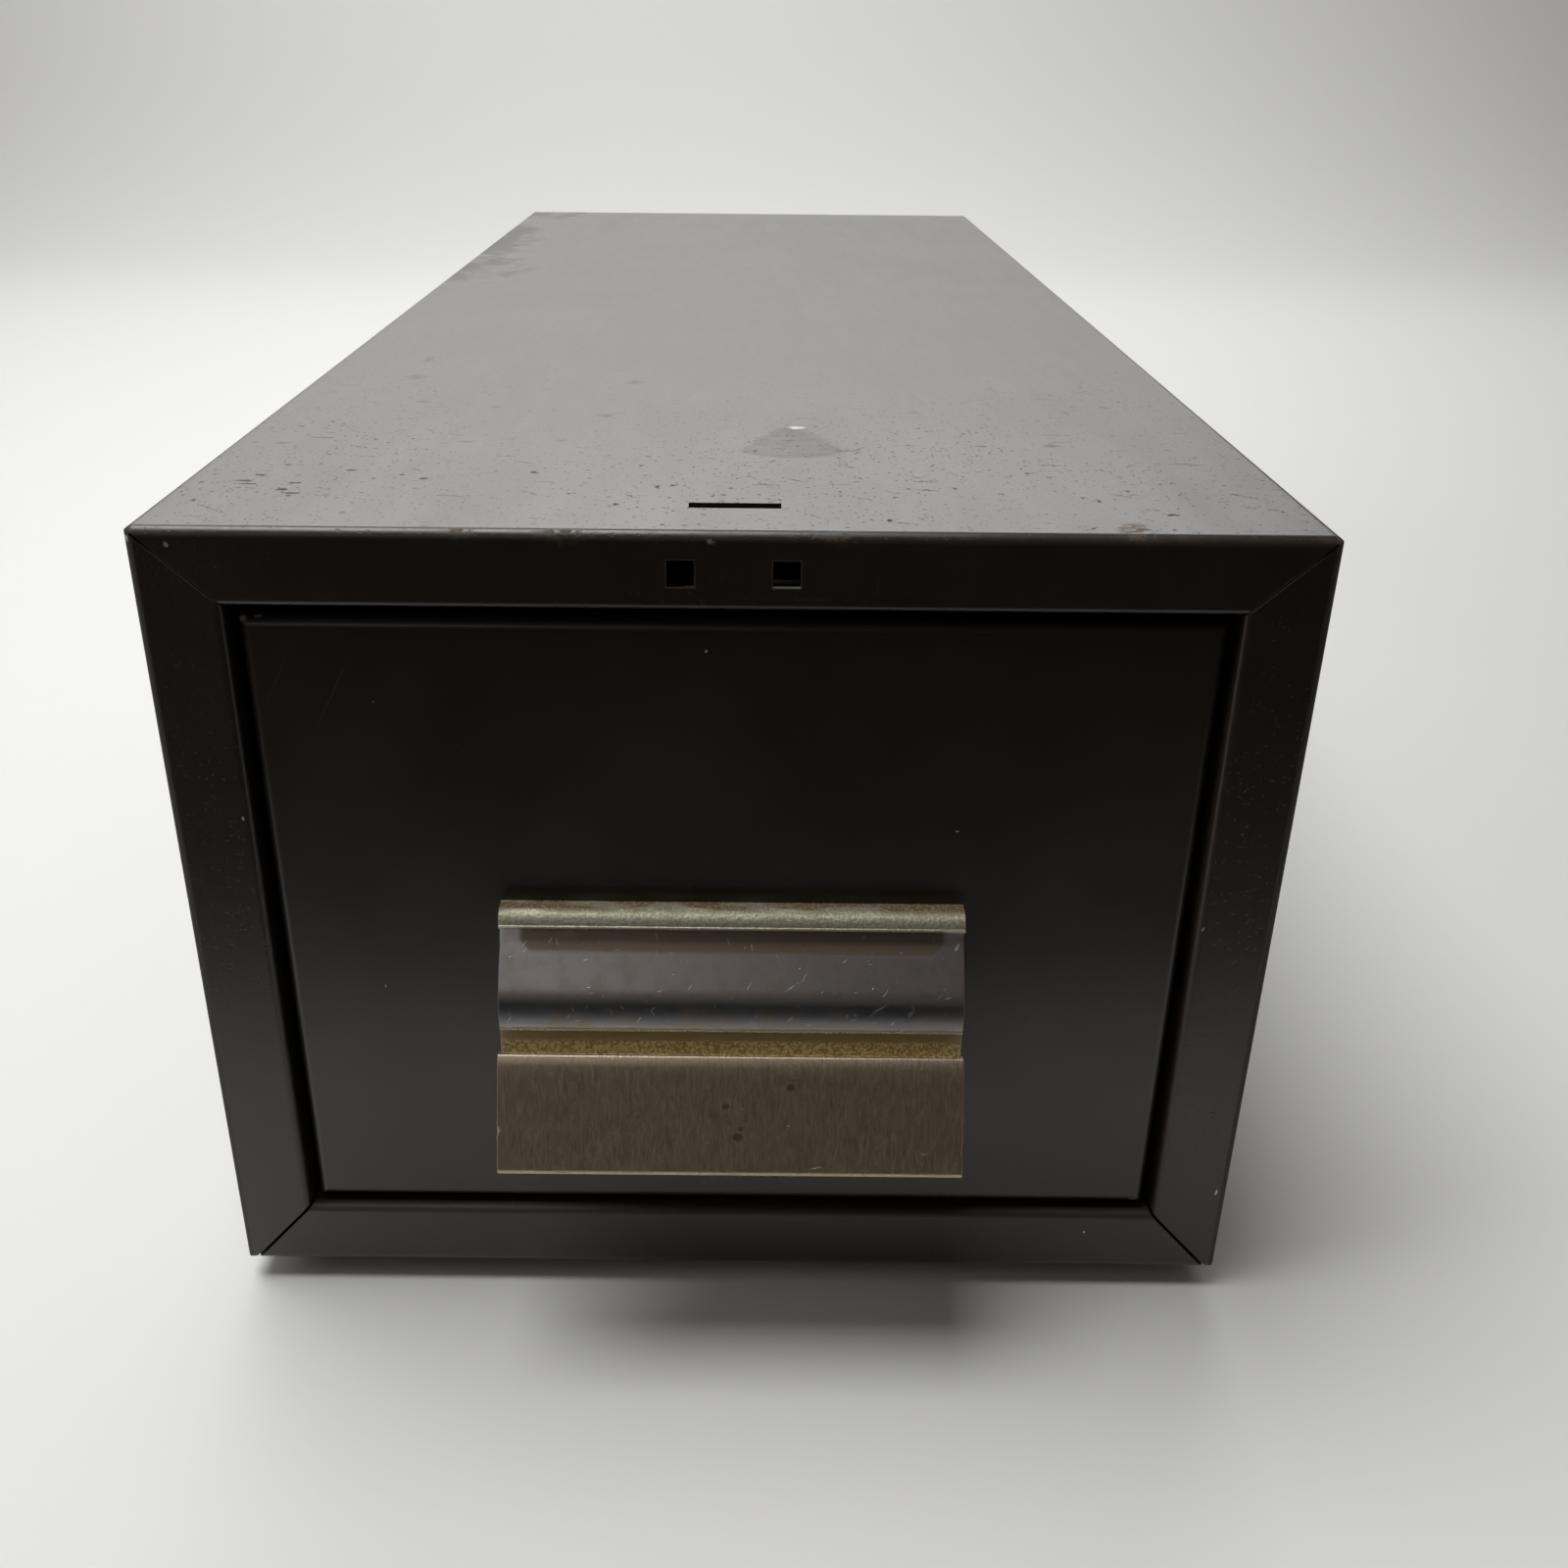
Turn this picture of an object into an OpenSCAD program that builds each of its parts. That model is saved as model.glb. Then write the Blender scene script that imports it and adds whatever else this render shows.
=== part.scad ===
// Desk card file: a folded sheet-steel case on rubber feet with one sliding drawer for
// index cards. The drawer has a metal pull that also holds a label, and a card
// follower that slides in a floor track and locks by leaning back.
// Millimetres. The front faces -Y, +Z is up, and the origin is on the table under the
// middle of the whole object.

/* [Case] */
// Width of the case
case_w = 159; // [152:1:180]
// Depth of the case from the frame to the rear edge
case_d = 404; // [320:1:460]
// Height of the case without its feet
case_h = 124; // [116:1:150]
// Thickness of the case sheet
case_t = 1; // [0.8:0.1:1.3]
// Outside radius of the case folds
fold_r = 1.4; // [1.4:0.1:3]
// Width of the front frame at each side
frame_side = 11.6; // [10:0.1:14]
// Width of the front frame at the top
frame_top = 10.8; // [9.5:0.1:14]
// Width of the front frame at the bottom
frame_bottom = 11.3; // [10:0.1:14]
// Depth of the lip turned in around the opening
lip_depth = 10.5; // [6:0.1:10.8]
// Inside radius of the fold between frame and lip
lip_bend = 0.1; // [0.1:0.1:1]
// Width of the mitre seams at the upper corners of the frame
upper_seam = 0.3; // [0.1:0.05:0.6]
// Width of the mitre seams at the lower corners of the frame
lower_seam = 0.5; // [0.2:0.05:1.2]
// Depth of the rim around the back panel
rear_rim = 8; // [5:0.5:14]

/* [Openings in the case] */
// Side of the square holes in the top of the frame
square_hole = 3.7; // [2.5:0.1:5]
// Distance between the centres of the square holes
square_pitch = 14; // [8:0.1:30]
// Height of the square holes' centre below the top
square_drop = 5.7; // [5:0.1:6.5]
// Length of the stop release slot in the top
slot_w = 12.7; // [8:0.1:20]
// Width of the stop release slot
slot_d = 2.6; // [1.5:0.1:4]
// Distance of the slot behind the front of the frame
slot_back = 11.4; // [11:0.1:14]

/* [Runners] */
// Thickness of the runners, guides and kickers
runner_t = 1.2; // [0.8:0.1:1.6]
// Width of the track that the tray slides on
runner_track = 10; // [6:0.5:20]
// Height of the side guides above the track
guide_h = 9; // [5:0.5:16]
// Height of the guides' and kickers' flanges welded to the case sides
weld_flange = 8; // [5:0.5:14]
// How far the kicker reaches over the tray's side
kicker_reach = 1.3; // [0.8:0.1:1.6]
// Distance of the runners, guides and kickers behind the shut drawer front's edges
runner_start = 4; // [2:0.5:10]
// Clearance under the tray
slide_gap = 0.2; // [0.1:0.05:0.5]
// Clearance between the tray and the side guides
guide_gap = 0.4; // [0.2:0.05:1]
// Clearance between the tray's hems and the kickers
kicker_gap = 0.6; // [0.3:0.05:1.5]

/* [Feet and bumpers] */
// Height of the rubber feet
foot_h = 4; // [3:0.1:8]
// Diameter of the rubber feet at the case
foot_d = 16; // [12:0.5:24]
// Diameter of the rubber feet at the table
foot_tip_d = 14; // [11:0.5:20]
// Distance of the feet's centres from the case sides and ends
foot_inset = 24; // [18:1:40]
// Diameter of the rivets through the feet
foot_rivet_d = 3.2; // [2.5:0.1:4]
// Diameter of the rear bumpers
bumper_d = 10; // [7:0.5:16]
// Diameter of the bumper stems
bumper_stem_d = 5; // [3:0.5:6]
// Distance between the rear bumpers
bumper_pitch = 70; // [40:1:100]
// Gap between the shut drawer and its bumpers
bumper_gap = 0.2; // [0.1:0.05:0.5]

/* [Drawer] */
// Gap between the drawer front and the frame at each side
front_gap_side = 1.4; // [0.8:0.1:2.5]
// Gap above the drawer front
front_gap_top = 1.9; // [1:0.1:3]
// Gap below the drawer front
front_gap_bottom = 1.3; // [0.8:0.1:2.5]
// How far the drawer front lies behind the frame
front_recess = 1.2; // [0.4:0.1:3]
// Depth of the drawer front's turned-in edges
front_return = 9; // [6:0.5:12]
// Thickness of the drawer sheet
drawer_t = 0.9; // [0.7:0.1:1.2]
// Outside radius of the drawer front's folds
drawer_fold_r = 1.6; // [1.3:0.1:2.4]
// Height of the tray's sides
tray_side_h = 62; // [45:1:72]
// Height of the hem along the tray's sides
hem_h = 7; // [4:0.5:10]
// Clear space behind the shut drawer
rear_space = 6; // [4:0.5:15]
// Depth of the flanges around the drawer back
back_flange = 15; // [13.5:0.5:20]
// Gap between the top of the drawer back and the frame opening
back_top_gap = 2; // [1:0.1:4]

/* [Pull] */
// Width of the pull
pull_w = 67.5; // [50:0.5:90]
// Height of the pull
pull_h = 35.6; // [34:0.1:44]
// How far the pull stands out from the drawer front
pull_reach = 18.4; // [17:0.1:24]
// Distance of the pull's top below the top of the case
pull_drop = 55.9; // [40:0.1:70]
// Thickness of the pull's walls
pull_t = 2.2; // [1.6:0.1:2.6]
// Radius of the bead along the top of the pull
bead_r = 2.2; // [1.6:0.1:2.6]
// How far the bead stands out
bead_reach = 3.9; // [3.4:0.1:5]
// How far the bead hooks over the label
bead_hook = 1.7; // [0.8:0.1:2.2]
// Reach of the label face where it stands upright
label_reach = 8.7; // [8:0.1:10]
// Radius of the roll at the foot of the label face
roll_r = 8.4; // [6:0.1:10]
// Slope of the label face from upright, in degrees
label_lean = 33; // [28:1:36]
// Turn of the roll past upright, in degrees
roll_past = 12; // [6:1:18]
// Distance of the finger plate's upper edge below the pull's top
plate_drop = 19.2; // [18.5:0.1:20]
// Reach of the finger plate at its upper edge
plate_top_reach = 12; // [11.5:0.1:13]
// Width of the slit that takes the label's lower edge
label_slit = 1.2; // [0.8:0.1:1.4]
// Radius along the lower edge of the finger plate
plate_edge_r = 1.8; // [1.2:0.1:2.2]
// Height of the pull's seat on the drawer front
pull_seat_h = 10; // [9:0.1:12]
// Diameter of the pull screws
screw_d = 3.5; // [3:0.1:4]
// Depth of the screw holes in the pull
screw_depth = 3.4; // [3:0.1:3.6]
// Distance between the pull screws
screw_pitch = 44; // [30:1:48]
// Distance of the screws below the pull's top
screw_drop = 7.4; // [7:0.1:7.6]

/* [Card follower] */
// Width of the floor track
track_w = 24; // [20:0.5:32]
// Height of the floor track
track_h = 7; // [6:0.1:9]
// Thickness of the floor track
track_t = 1.2; // [1:0.1:1.4]
// Width of the slot along the track
track_slot = 12; // [10:0.5:16]
// Clearance of the shoe in the track
shoe_gap = 0.25; // [0.15:0.05:0.4]
// Distance of the track behind the drawer front's edges
track_start = 3; // [1:0.5:20]
// Number of rivets along the track
track_rivet_count = 4; // [2:1:8]
// Length of the shoe
shoe_l = 40; // [30:1:60]
// Distance of the shoe from the drawer back at rest
shoe_rest = 58; // [57:1:120]
// Diameter of the follower's pivot pin
pin_d = 4; // [3:0.1:5]
// Height of the pivot pin above the track
pin_rise = 8; // [7:0.1:10]
// Radius of the ears and boss around the pin
ear_r = 4.5; // [4:0.1:5]
// Thickness of the follower plate
plate_t = 1.2; // [0.8:0.1:1.6]
// Height of the follower plate above its pin
plate_rise = 52; // [40:1:56]
// Distance of the follower plate in front of its pin
plate_ahead = 7; // [6.2:0.1:8]
// Gap between the follower plate and the tray at each side
plate_gap = 3; // [1.5:0.1:6]
// Radius of the follower plate's upper corners
plate_corner_r = 12; // [4:0.5:20]
// Slope of the resting follower plate from upright, in degrees
plate_lean = 20; // [17:1:26]
// Room under the follower plate's lower edge
plate_floor_gap = 1.5; // [1:0.1:3]
// Clearance between the ears' heels and the track
heel_gap = 0.3; // [0.2:0.05:0.5]

/* [Drawer stop] */
// Distance of the stop's catch in front of the drawer back
stop_reach = 50; // [35:1:58]
// Width of the stop leaf
stop_w = 11; // [8:0.5:12]
// Thickness of the stop leaf
stop_t = 0.8; // [0.6:0.1:1]
// Clearance between the stop's catch and the top of the case
stop_gap = 2.5; // [1.5:0.1:4]
// Depth of the flat on top of the catch
catch_d = 3.4; // [2.5:0.1:5]

/* [Small parts] */
// Diameter of the small rivets
rivet_d = 3; // [2.4:0.1:3.4]
// Head diameter of rivets, screws and pins over their shank
head_over = 3; // [2:0.1:3.6]
// Height of rivet and pin heads
head_h = 1.2; // [0.8:0.1:1.4]
// Diameter of the screw washers over the screw heads
washer_over = 2; // [1:0.1:3]
// Thickness of the screw washers
washer_t = 0.8; // [0.5:0.1:1.2]
// Radial clearance of fixed shanks in their holes
fixed_fit = 0.03; // [0.02:0.01:0.1]
// Radial clearance of turning pins in their holes
running_fit = 0.06; // [0.02:0.01:0.1]
// Gap between parts that move side by side
side_gap = 0.3; // [0.2:0.05:0.5]

/* [Hidden] */
$fn = 48;

paint = [0.27, 0.25, 0.23];
inner_paint = [0.33, 0.31, 0.28];
bare_metal = [0.72, 0.71, 0.69];
spring_metal = [0.55, 0.55, 0.56];
rubber = [0.08, 0.08, 0.08];

// Overlap that joins two shapes of one sheet, and the overshoot of cutting shapes
bite = 0.5;

// Planes of the case
front_y = (pull_reach - front_recess - case_d) / 2;
rear_y = front_y + case_d;
base_z = foot_h;
top_z = base_z + case_h;
wall_x = case_w / 2 - case_t;
ceiling_z = top_z - case_t;
panel_y = rear_y - rear_rim;
open_x = case_w / 2 - frame_side;
open_low_z = base_z + frame_bottom;
open_high_z = top_z - frame_top;
lip_r = case_t + lip_bend;

// Planes of the drawer
face_y = front_y + front_recess;
front_w = 2 * (open_x - front_gap_side);
front_low_z = open_low_z + front_gap_bottom;
front_high_z = open_high_z - front_gap_top;
front_end_y = face_y + front_return;
tray_w = front_w - 2 * drawer_t;
tray_z = front_low_z + drawer_t;
tray_floor_z = tray_z + drawer_t;
hem_z = tray_z + tray_side_h;
tray_y = face_y + drawer_fold_r;
drawer_end_y = panel_y - rear_space;
back_face_y = drawer_end_y - drawer_t;
back_top_z = open_high_z - back_top_gap;
tray_inner_x = tray_w / 2 - drawer_t;

// Runners, guides and kickers
runner_y = front_end_y + runner_start;
runner_end_y = panel_y - side_gap;
runner_z = tray_z - slide_gap;
runner_foot_z = base_z + fold_r + side_gap;
guide_x = tray_w / 2 + guide_gap;
guide_z = runner_z + guide_h;
kicker_z = hem_z + kicker_gap + runner_t / 2;
kicker_x = tray_w / 2 - kicker_reach;

// Pull
pull_z = top_z - pull_drop;
screw_z = pull_z - screw_drop;
screw_hole_d = screw_d + 2 * fixed_fit;

// Follower
track_top_z = tray_floor_z + track_h;
track_y = front_end_y + track_start;
track_end_y = back_face_y - back_flange - side_gap;
shoe_y = back_face_y - shoe_rest;
pin_y = shoe_y + ear_r;
pin_z = track_top_z + pin_rise;
neck_x = track_slot / 2 - shoe_gap;
ear_x = neck_x + side_gap;
pin_hole_d = pin_d + 2 * running_fit;

// Stop
stop_y = drawer_end_y - stop_reach;
stop_z = ceiling_z - stop_gap;
stop_rivet_pitch = rivet_d + head_over + 2 * side_gap;
stop_rivet_y = back_face_y - stop_rivet_pitch / 2 - side_gap;

// Extrusions along an axis, from a to b
// Along X: the flat shape is drawn in (y, z)
module along_x(a, b) translate([a, 0, 0]) rotate([90, 0, 90]) linear_extrude(b - a) children();
// Along Y: the flat shape is drawn in (x, z)
module along_y(a, b) translate([0, b, 0]) rotate([90, 0, 0]) linear_extrude(b - a) children();
// Along Z: the flat shape is drawn in (x, y)
module along_z(a, b) translate([0, 0, a]) linear_extrude(b - a) children();

// Rectangle between two corners
module box2(low, high) translate(low) square(high - low);
// Box between two corners
module box3(low, high) translate(low) cube(high - low);

// Rectangle with all four corners round
module round_rect(low, high, r) {
    box2(low + [r, 0], high - [r, 0]);
    box2(low + [0, r], high - [0, r]);
    for (x = [low[0] + r, high[0] - r], y = [low[1] + r, high[1] - r])
        translate([x, y]) circle(r);
}

// Folded sheet seen from its end: a strip of thickness t along a centre line
module sheet_path(points, t) {
    for (i = [1 : len(points) - 1]) {
        step = points[i] - points[i - 1];
        translate(points[i - 1])
            rotate(atan2(step[1], step[0]))
                translate([0, -t / 2]) square([norm(step), t]);
    }
    for (i = [1 : len(points) - 2])
        translate(points[i]) circle(t / 2);
}

// Points of an arc, from angle a to angle b
function arc(centre, r, a, b, n = 8) =
    [for (i = [0 : n]) centre + r * [cos(a + (b - a) * i / n), sin(a + (b - a) * i / n)]];

// Rivet or pin along +Z: a head below z = 0, a shank of length l and a second head
module rivet(d, l) {
    translate([0, 0, -head_h]) cylinder(d = d + head_over, h = head_h);
    cylinder(d = d, h = l);
    translate([0, 0, l]) cylinder(d = d + head_over, h = head_h);
}

// Side of a folded pan seen from its end: round at the front, square at the back
module pan_side(low, high, face, end, r) {
    box2([face + r, low], [end, high]);
    box2([face, low + r], [face + 2 * r, high - r]);
    for (level = [low + r, high - r])
        translate([face + r, level]) circle(r);
}

// Solid of a pan whose face has folds of radius r on all four sides; low and high are
// corners in (x, z)
module pan(low, high, face, end, r) {
    intersection() {
        along_x(low[0], high[0]) pan_side(low[1], high[1], face, end, r);
        along_z(low[1], high[1]) mirror([1, -1]) pan_side(low[0], high[0], face, end, r);
    }
}

// Seam between two sides of the frame, from the corner of the opening outward: it runs over
// the given width and height and goes on by past
module corner_seam(side, level, seam, run, rise, past) {
    corner_z = level > 0 ? open_high_z : open_low_z;
    translate([side * open_x, front_y - bite, corner_z])
        rotate([0, -atan2(level * rise, side * run), 0])
            translate([-fold_r, 0, -seam / 2]) {
                cube([2 * fold_r + lip_r, lip_depth + 2 * bite, seam]);
                cube([fold_r + norm([run, rise]) + past, fold_r + bite, seam]);
            }
}

// Lip turned in around the opening: depth behind the front, then distance out from the opening
module lip_section() {
    box2([lip_r, 0], [lip_depth, case_t]);
    difference() {
        intersection() {
            translate([lip_r, lip_r]) circle(lip_r);
            square(lip_r);
        }
        translate([lip_r, lip_r]) circle(lip_r - case_t);
    }
}

module opening_lip() {
    past = lip_r + bite;
    for (level = [-1, 1])
        along_x(-open_x - past, open_x + past)
            translate([front_y, level > 0 ? open_high_z : open_low_z])
                mirror([0, level < 0 ? 1 : 0]) lip_section();
    for (side = [-1, 1])
        along_z(open_low_z - past, open_high_z + past)
            scale_x(side) translate([open_x, front_y]) mirror([1, -1]) lip_section();
}

module case_outline(inset) {
    round_rect(
        [inset - case_w / 2, base_z + inset], [case_w / 2 - inset, top_z - inset], fold_r - inset
    );
}

// The case as a solid, grown inward by inset
module case_solid(inset) {
    intersection() {
        along_y(front_y, rear_y + inset) case_outline(inset);
        pan(
            [inset - case_w / 2, base_z + inset], [case_w / 2 - inset, top_z - inset],
            front_y + inset, rear_y + inset, fold_r - inset
        );
    }
}

// The upper seams end at the folds and the lower ones run out beside the round corners
module case_shell() {
    color(paint) difference() {
        union() {
            difference() {
                case_solid(0);
                case_solid(case_t);
                box3(
                    [-open_x - lip_r, front_y - bite, open_low_z - lip_r],
                    [open_x + lip_r, front_y + case_t + bite, open_high_z + lip_r]
                );
            }
            opening_lip();
        }
        for (side = [-1, 1]) {
            corner_seam(side, 1, upper_seam, frame_side, frame_top, -fold_r);
            corner_seam(side, -1, lower_seam, frame_side - fold_r, frame_bottom, bite);
            translate([side * square_pitch / 2, front_y, top_z - square_drop])
                cube([square_hole, 2 * (case_t + bite), square_hole], center = true);
        }
        box3(
            [-slot_w / 2, front_y + slot_back, ceiling_z - bite],
            [slot_w / 2, front_y + slot_back + slot_d, top_z + bite]
        );
        // Closing seam of the wrapped sheet, low on the right side
        box3(
            [case_w / 2 - case_t / 2, front_y + lip_depth, base_z + fold_r],
            [case_w / 2 + bite, rear_y + bite, base_z + fold_r + upper_seam]
        );
        for_feet() translate([0, 0, base_z - bite])
            cylinder(d = foot_rivet_d + 2 * fixed_fit, h = case_t + 2 * bite);
    }
}

module back_panel() {
    color(paint) difference() {
        along_y(panel_y, rear_y) case_outline(case_t);
        along_y(panel_y + case_t, rear_y + bite)
            round_rect(
                [2 * case_t - case_w / 2, base_z + 2 * case_t],
                [case_w / 2 - 2 * case_t, top_z - 2 * case_t], case_t / 2
            );
        for_bumpers() translate([0, 0, -bite])
            cylinder(d = bumper_stem_d + 2 * fixed_fit, h = case_t + 2 * bite);
    }
}

// Angle welded to one side of the case: a leg along the side, up or down to leg_z, and a
// shelf that reaches in to edge_x
module side_angle(side, leg_z, shelf_z, edge_x) {
    leg_x = wall_x - runner_t / 2;
    color(inner_paint) along_y(runner_y, runner_end_y) scale_x(side)
        sheet_path([[leg_x, leg_z], [leg_x, shelf_z], [edge_x, shelf_z]], runner_t);
}

// Runner: the tray slides on its shelf
module runner(side) side_angle(side, runner_foot_z, runner_z - runner_t / 2, guide_x - runner_track);
// Guide: keeps the tray straight
module guide(side) side_angle(side, guide_z + weld_flange, guide_z, guide_x);
// Kicker: keeps the open drawer from tipping
module kicker(side) side_angle(side, kicker_z + weld_flange, kicker_z, kicker_x);

module scale_x(side) mirror([side < 0 ? 1 : 0, 0]) children();

module left_runner() runner(-1);
module right_runner() runner(1);
module left_guide() guide(-1);
module right_guide() guide(1);
module left_kicker() kicker(-1);
module right_kicker() kicker(1);

module for_feet() {
    for (x = [-1, 1] * (case_w / 2 - foot_inset), y = [front_y + foot_inset, rear_y - foot_inset])
        translate([x, y, 0]) children();
}

module rubber_feet() {
    color(rubber) for_feet() difference() {
        cylinder(d1 = foot_tip_d, d2 = foot_d, h = foot_h);
        translate([0, 0, -bite]) cylinder(d = foot_rivet_d + 2 * fixed_fit, h = foot_h + 2 * bite);
        translate([0, 0, -bite])
            cylinder(d = foot_rivet_d + head_over + 2 * side_gap, h = foot_h / 2 + bite);
    }
}

module foot_rivets() {
    color(bare_metal) for_feet() translate([0, 0, foot_h / 2])
        rivet(foot_rivet_d, foot_h / 2 + case_t);
}

module for_bumpers() {
    for (x = [-1, 1] * bumper_pitch / 2)
        translate([x, panel_y, tray_z + tray_side_h / 2]) rotate([-90, 0, 0]) children();
}

module rear_bumpers() {
    lip_h = 2 * case_t;
    color(rubber) for_bumpers() {
        translate([0, 0, bumper_gap - rear_space]) cylinder(d = bumper_d, h = rear_space - bumper_gap);
        cylinder(d = bumper_stem_d, h = case_t);
        translate([0, 0, case_t])
            cylinder(d1 = bumper_stem_d + head_over, d2 = bumper_stem_d, h = lip_h);
    }
}

module front_solid(inset) {
    pan(
        [inset - front_w / 2, front_low_z + inset], [front_w / 2 - inset, front_high_z - inset],
        face_y + inset, front_end_y + inset, drawer_fold_r - inset
    );
}

module for_screws() {
    for (x = [-1, 1] * screw_pitch / 2)
        translate([x, face_y, screw_z]) rotate([90, 0, 0]) children();
}

module drawer_front() {
    color(paint) difference() {
        front_solid(0);
        front_solid(drawer_t);
        for_screws() translate([0, 0, -drawer_t - bite])
            cylinder(d = screw_hole_d, h = drawer_t + 2 * bite);
    }
}

module drawer_tray() {
    half = drawer_t / 2;
    side_x = tray_w / 2 - half;
    color(inner_paint) difference() {
        union() {
            along_y(tray_y, drawer_end_y) sheet_path([
                [-side_x, hem_z - half], [-side_x, tray_z + half],
                [side_x, tray_z + half], [side_x, hem_z - half]
            ], drawer_t);
            for (side = [-1, 1])
                along_y(tray_y, back_face_y - back_flange - side_gap) scale_x(side) sheet_path([
                    [side_x, hem_z - hem_h], [side_x, hem_z - half],
                    [side_x - drawer_t, hem_z - half], [side_x - drawer_t, hem_z - hem_h]
                ], drawer_t);
        }
        for_track_rivets() translate([0, 0, -bite])
            cylinder(d = rivet_d + 2 * fixed_fit, h = drawer_t + track_t + bite);
    }
}

// Back of the drawer: full width up to the hems, narrower between the kickers above
module drawer_back() {
    upper_x = kicker_x - kicker_gap;
    flange_y = back_face_y - back_flange;
    color(inner_paint) difference() {
        union() {
            along_y(back_face_y, drawer_end_y) {
                box2([-tray_inner_x, tray_floor_z], [tray_inner_x, hem_z]);
                box2([-upper_x, tray_floor_z], [upper_x, back_top_z]);
            }
            box3([-tray_inner_x, flange_y, tray_floor_z],
                [tray_inner_x, drawer_end_y, tray_floor_z + drawer_t]);
            box3([-upper_x, flange_y, back_top_z - drawer_t], [upper_x, drawer_end_y, back_top_z]);
            for (side = [-1, 1])
                box3([side * tray_inner_x - (side > 0 ? drawer_t : 0), flange_y, tray_floor_z],
                    [side * tray_inner_x + (side > 0 ? 0 : drawer_t), drawer_end_y, hem_z]);
        }
        for_stop_rivets() translate([0, 0, -drawer_t - bite])
            cylinder(d = rivet_d + 2 * fixed_fit, h = drawer_t + 2 * bite);
    }
}

// Section of the pull: distance out from the drawer front, then distance below its top
module pull_section() {
    bead_z = bead_r + pull_t / 8;
    roll = [label_reach - roll_r, plate_drop - 2 * pull_t];
    roll_end = roll + roll_r * [cos(roll_past), sin(roll_past)];
    groove_u = label_reach + pull_t / 4;
    groove_v = plate_drop + 1.5 * label_slit;
    tip = [pull_reach - plate_edge_r, pull_h - plate_edge_r];
    plate_angle = atan2(tip[1] - plate_drop, pull_reach - plate_top_reach) - 90;
    back_u = label_reach - pull_t;
    edge_steps = 6;
    polygon(concat(
        [[0, 0]],
        arc([bead_reach - bead_r, bead_r], bead_r, -90, 0),
        [[bead_reach, bead_z], [bead_reach - bead_hook, bead_z]],
        arc(roll, roll_r, -label_lean, roll_past),
        [
            [roll_end[0], plate_drop - pull_t], [groove_u, groove_v],
            [groove_u + label_slit, groove_v], [groove_u + label_slit, plate_drop + pull_t / 8],
            [plate_top_reach - pull_t / 4, plate_drop], [plate_top_reach, plate_drop + pull_t / 4]
        ],
        arc(tip, plate_edge_r, plate_angle, 0, 2),
        arc(tip, plate_edge_r, 90 / edge_steps, 90, edge_steps - 1),
        [
            tip + [-pull_t / 2, plate_edge_r],
            [groove_u + label_slit + pull_t, groove_v + 2 * pull_t],
            [back_u + pull_t, groove_v + pull_t], [back_u, groove_v],
            [back_u, roll[1]], [back_u - pull_t, pull_seat_h + pull_t], [0, pull_seat_h]
        ]
    ));
}

module drawer_pull() {
    color(bare_metal) difference() {
        translate([-pull_w / 2, face_y, pull_z])
            rotate([90, 0, 90]) linear_extrude(pull_w) mirror([1, 0]) mirror([0, 1]) pull_section();
        for_screws() translate([0, 0, -bite]) cylinder(d = screw_hole_d, h = screw_depth + bite);
    }
}

module pull_screws() {
    tip_gap = side_gap;
    under_head = drawer_t + washer_t;
    color(bare_metal) for_screws() {
        translate([0, 0, -under_head]) cylinder(d = screw_d, h = under_head + screw_depth - tip_gap);
        translate([0, 0, -under_head - 2 * head_h]) cylinder(d = screw_d + head_over, h = 2 * head_h);
    }
}

module pull_washers() {
    color(bare_metal) for_screws() translate([0, 0, -drawer_t - washer_t]) difference() {
        cylinder(d = screw_d + head_over + washer_over, h = washer_t);
        translate([0, 0, -bite]) cylinder(d = screw_hole_d, h = washer_t + 2 * bite);
    }
}

module follower_track() {
    half = track_t / 2;
    side_x = track_w / 2 - half;
    low_z = tray_floor_z + half;
    high_z = track_top_z - half;
    color(inner_paint) difference() {
        along_y(track_y, track_end_y) sheet_path([
            [-track_slot / 2, high_z], [-side_x, high_z], [-side_x, low_z],
            [side_x, low_z], [side_x, high_z], [track_slot / 2, high_z]
        ], track_t);
        for_track_rivets() translate([0, 0, -bite])
            cylinder(d = rivet_d + 2 * fixed_fit, h = drawer_t + 2 * track_t);
    }
}

module for_track_rivets() {
    pitch = (track_end_y - track_y) / track_rivet_count;
    for (i = [0 : track_rivet_count - 1])
        translate([0, track_y + (i + 0.5) * pitch, tray_z]) children();
}

// Rivets that finish flush inside the track, so that the shoe slides over them
module track_rivets() {
    color(bare_metal) for_track_rivets() {
        translate([0, 0, -head_h]) cylinder(d = rivet_d + head_over, h = head_h);
        cylinder(d = rivet_d, h = drawer_t + track_t);
    }
}

// Spring leaf on the drawer back, whose catch meets the frame's top lip
module stop_leaf() {
    half = stop_t / 2;
    root_z = back_top_z + half;
    color(spring_metal) difference() {
        along_x(-stop_w / 2, stop_w / 2) sheet_path([
            [drawer_end_y, root_z],
            [back_face_y - back_flange, root_z],
            [stop_y + catch_d, stop_z - half],
            [stop_y + half, stop_z - half],
            [stop_y + half, open_high_z - side_gap]
        ], stop_t);
        for_stop_rivets() translate([0, 0, -bite])
            cylinder(d = rivet_d + 2 * fixed_fit, h = stop_t + 2 * bite);
    }
}

module for_stop_rivets() {
    for (i = [0, 1])
        translate([0, stop_rivet_y - i * stop_rivet_pitch, back_top_z]) children();
}

module stop_rivets() {
    color(bare_metal) for_stop_rivets() translate([0, 0, -drawer_t]) rivet(rivet_d, drawer_t + stop_t);
}

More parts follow.
